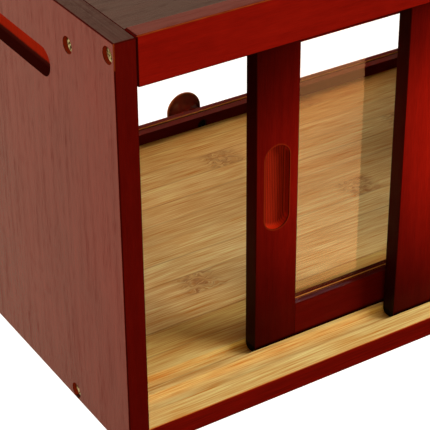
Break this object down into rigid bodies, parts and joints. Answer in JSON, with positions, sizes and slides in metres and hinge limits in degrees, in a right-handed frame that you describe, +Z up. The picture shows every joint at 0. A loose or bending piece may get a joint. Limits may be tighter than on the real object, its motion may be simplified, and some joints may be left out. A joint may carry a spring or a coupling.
{
  "type": "bread box",
  "caption": "Low wooden bread box with two sliding clear-paned doors in front and, behind them, a shallow drawer with a clear-paned front and a turned knob that opens to the rear.",
  "frame": {"origin": "on the resting plane, under the middle of the overall box", "axes": "+X to the right along the front with the sliding doors, +Y from the sliding doors towards the drawer's knob, +Z up"},
  "size_m": [0.424, 0.301, 0.2448],
  "materials": {
    "stained_bamboo": "bamboo stained dark cherry red under satin lacquer",
    "natural_bamboo": "natural laminated bamboo under clear satin lacquer",
    "clear_acrylic": "clear polished acrylic sheet",
    "turned_wood": "turned wood, stained dark red-brown, glossy lacquer",
    "beech_dowel": "plain beech",
    "brass_plated_steel": "brass-plated wood screws",
    "black_steel": "blackened steel screw",
    "rubber": "black rubber"
  },
  "bodies": {
    "case": {"left_side_panel": "stained_bamboo", "right_side_panel": "stained_bamboo", "top_panel": "stained_bamboo", "top_front_rail": "stained_bamboo", "top_rear_rail": "stained_bamboo", "upper_track": "stained_bamboo", "front_sill": "natural_bamboo", "base_panel": "natural_bamboo", "case_screws_left": "brass_plated_steel", "case_screws_right": "brass_plated_steel", "base_screws": "brass_plated_steel", "drawer_stop_left": "stained_bamboo", "drawer_stop_right": "stained_bamboo", "drawer_stop_screws": "brass_plated_steel", "rubber_feet": "rubber", "foot_screws": "brass_plated_steel"},
    "front_door": {"front_door_left_stile": "stained_bamboo", "front_door_right_stile": "stained_bamboo", "front_door_bottom_rail": "stained_bamboo", "front_door_top_rail": "stained_bamboo", "front_door_pane": "clear_acrylic"},
    "rear_door": {"rear_door_left_stile": "stained_bamboo", "rear_door_right_stile": "stained_bamboo", "rear_door_bottom_rail": "stained_bamboo", "rear_door_top_rail": "stained_bamboo", "rear_door_pane": "clear_acrylic"},
    "drawer": {"drawer_board": "natural_bamboo", "drawer_side_left": "stained_bamboo", "drawer_side_right": "stained_bamboo", "drawer_board_screws": "brass_plated_steel", "drawer_dowels": "beech_dowel", "drawer_front_left_stile": "stained_bamboo", "drawer_front_right_stile": "stained_bamboo", "drawer_front_bottom_rail": "stained_bamboo", "drawer_front_top_rail": "stained_bamboo", "drawer_front_pane": "clear_acrylic", "drawer_knob": "turned_wood", "knob_screw": "black_steel"}
  },
  "joints": [
    {"name": "front_door_slide", "type": "slide", "parent": "case", "child": "front_door", "axis": [1, 0, 0], "range_m": [-0.1716, 0]},
    {"name": "rear_door_slide", "type": "slide", "parent": "case", "child": "rear_door", "axis": [1, 0, 0], "range_m": [-0.0858, 0.0858]},
    {"name": "drawer_slide", "type": "slide", "parent": "case", "child": "drawer", "axis": [0, 1, 0], "range_m": [0, 0.1547]}
  ]
}
